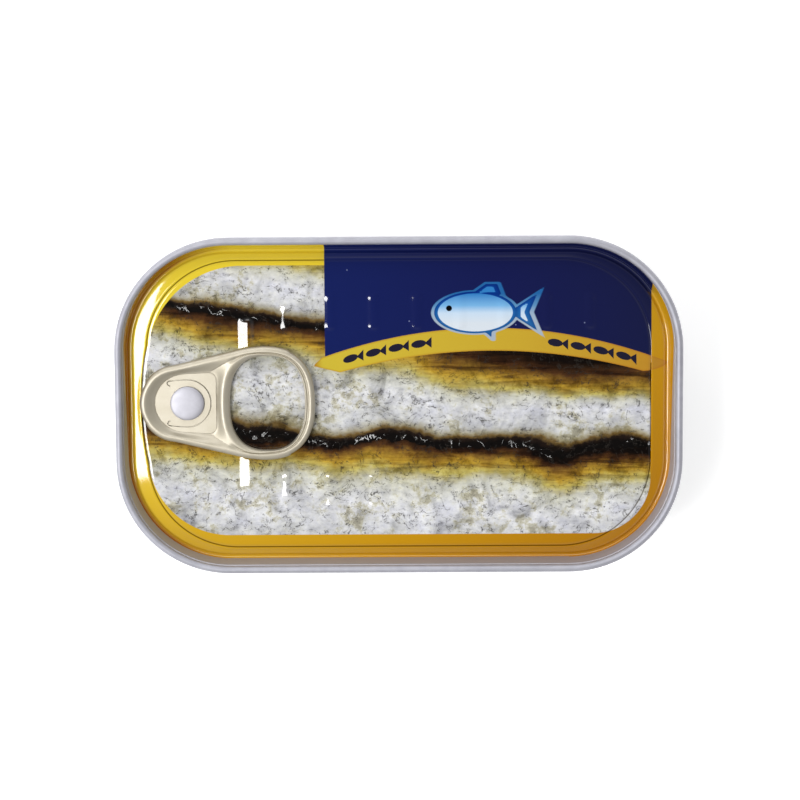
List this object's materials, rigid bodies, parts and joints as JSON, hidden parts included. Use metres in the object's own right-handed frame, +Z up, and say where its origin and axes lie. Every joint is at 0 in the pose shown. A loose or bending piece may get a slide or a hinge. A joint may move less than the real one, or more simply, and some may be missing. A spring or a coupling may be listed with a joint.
{
  "type": "sardine tin",
  "caption": "Shut shallow fish tin with rounded corners, a scored easy-open end in a double seam, pressed ribs and a riveted pull tab with a finger ring.",
  "frame": {"origin": "middle of the tin's base, on the surface it stands on", "axes": "+X along the tin, from the pull tab towards the far end; +Y across the tin; +Z up out of the easy-open end"},
  "size_m": [0.1046, 0.0624, 0.029],
  "materials": {
    "lacquered_aluminium": "clear-lacquered satin aluminium",
    "printed_end": "offset print under gloss varnish",
    "gold_lacquer": "pale gold lacquer on aluminium"
  },
  "bodies": {
    "root": {"tin_body": "lacquered_aluminium", "easy_open_end": "printed_end", "pull_tab": "gold_lacquer"}
  },
  "joints": []
}
